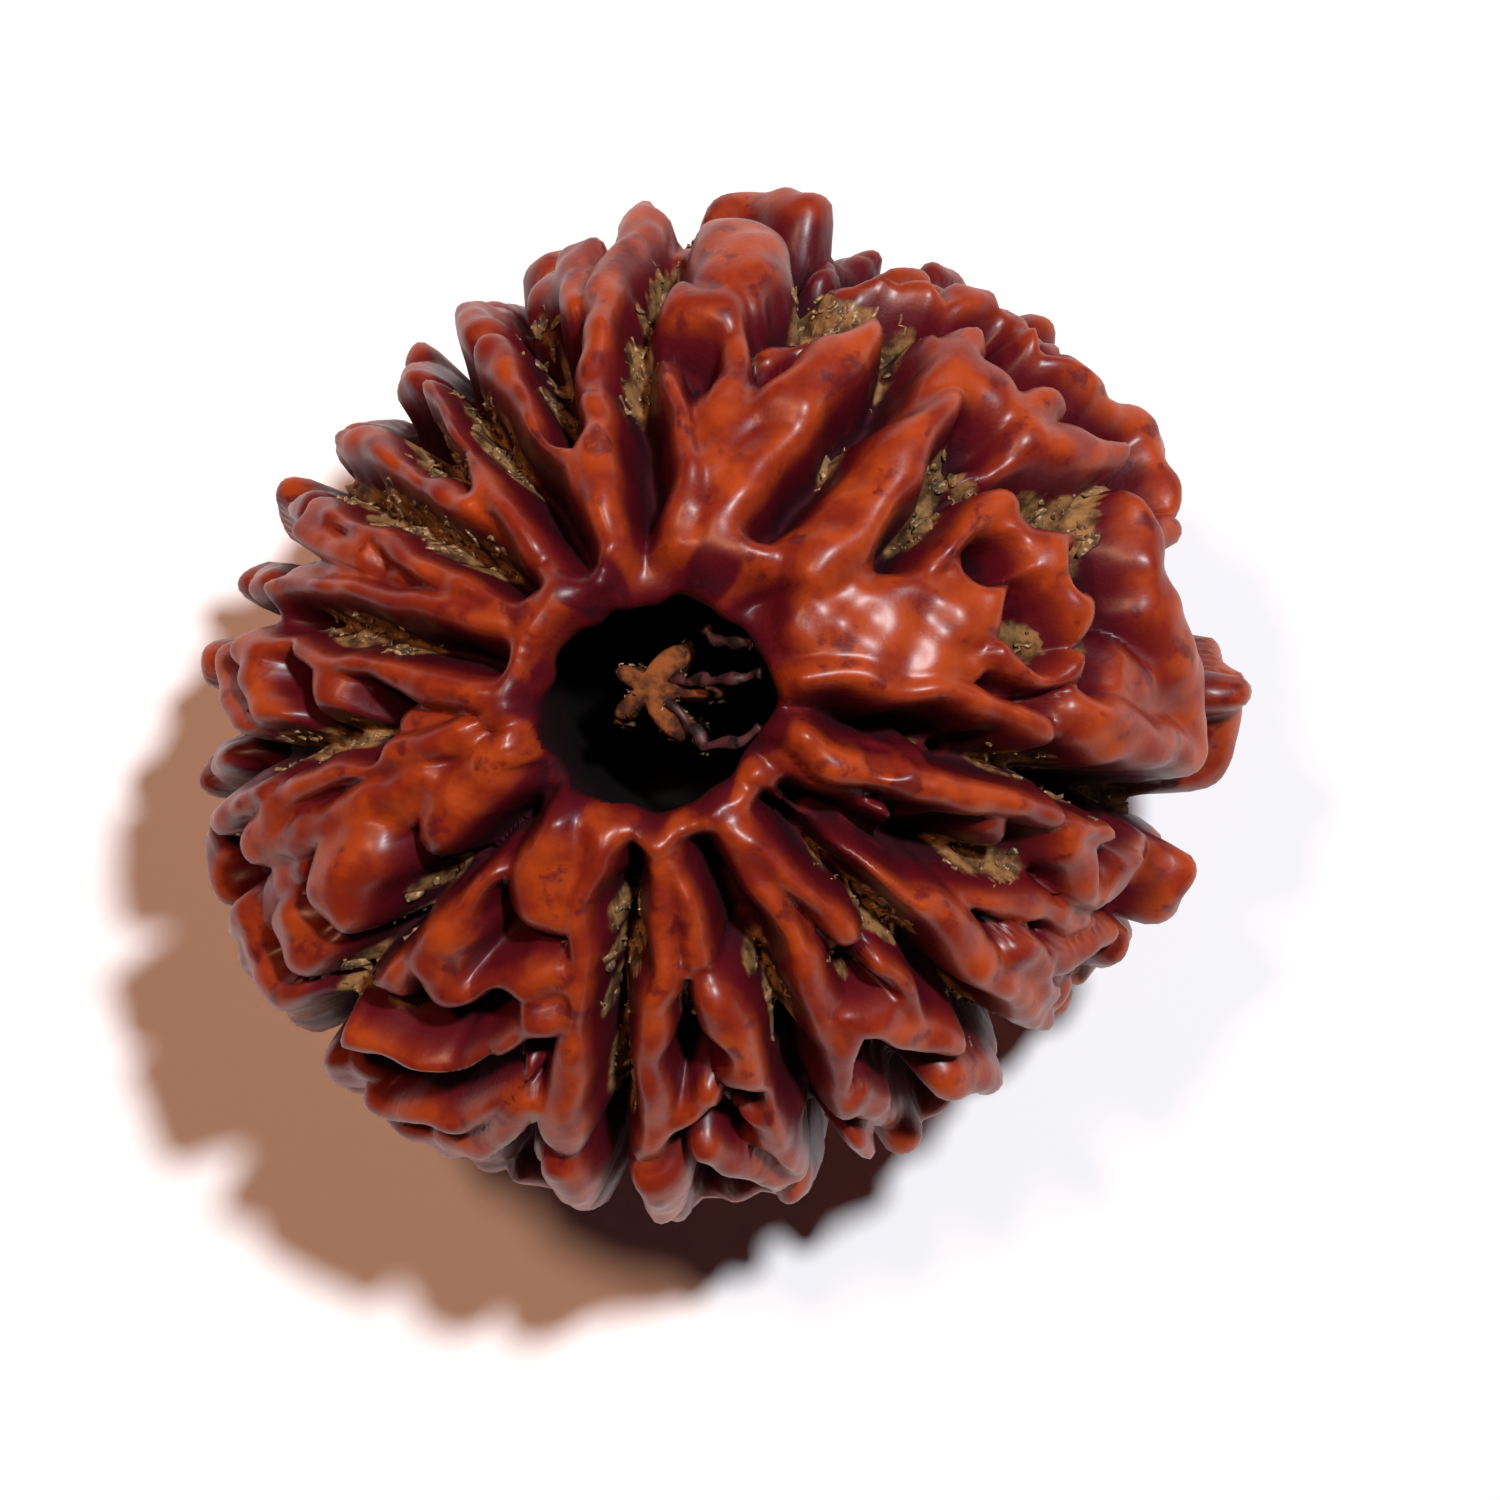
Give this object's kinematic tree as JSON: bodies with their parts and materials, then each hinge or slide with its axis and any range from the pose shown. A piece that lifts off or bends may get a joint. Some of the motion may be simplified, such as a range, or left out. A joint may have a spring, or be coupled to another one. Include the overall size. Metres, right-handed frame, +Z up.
{
  "type": "rudraksha bead",
  "caption": "Ganesh rudraksha bead: the ribbed stone of one fruit, with an open mouth at the top and a trunk-like lobe at one side.",
  "frame": {"origin": "middle of the flat spot round the stem scar that the bead rests on, on the bead's own axis", "axes": "+Z up along the bead's own axis, out of its mouth; +X towards the trunk-like lobe; +Y completes a right-handed frame"},
  "size_m": [0.0254, 0.0247, 0.0195],
  "materials": {
    "shell": "waxed"
  },
  "bodies": {
    "root": {"rudraksha_bead": "shell"}
  },
  "joints": []
}
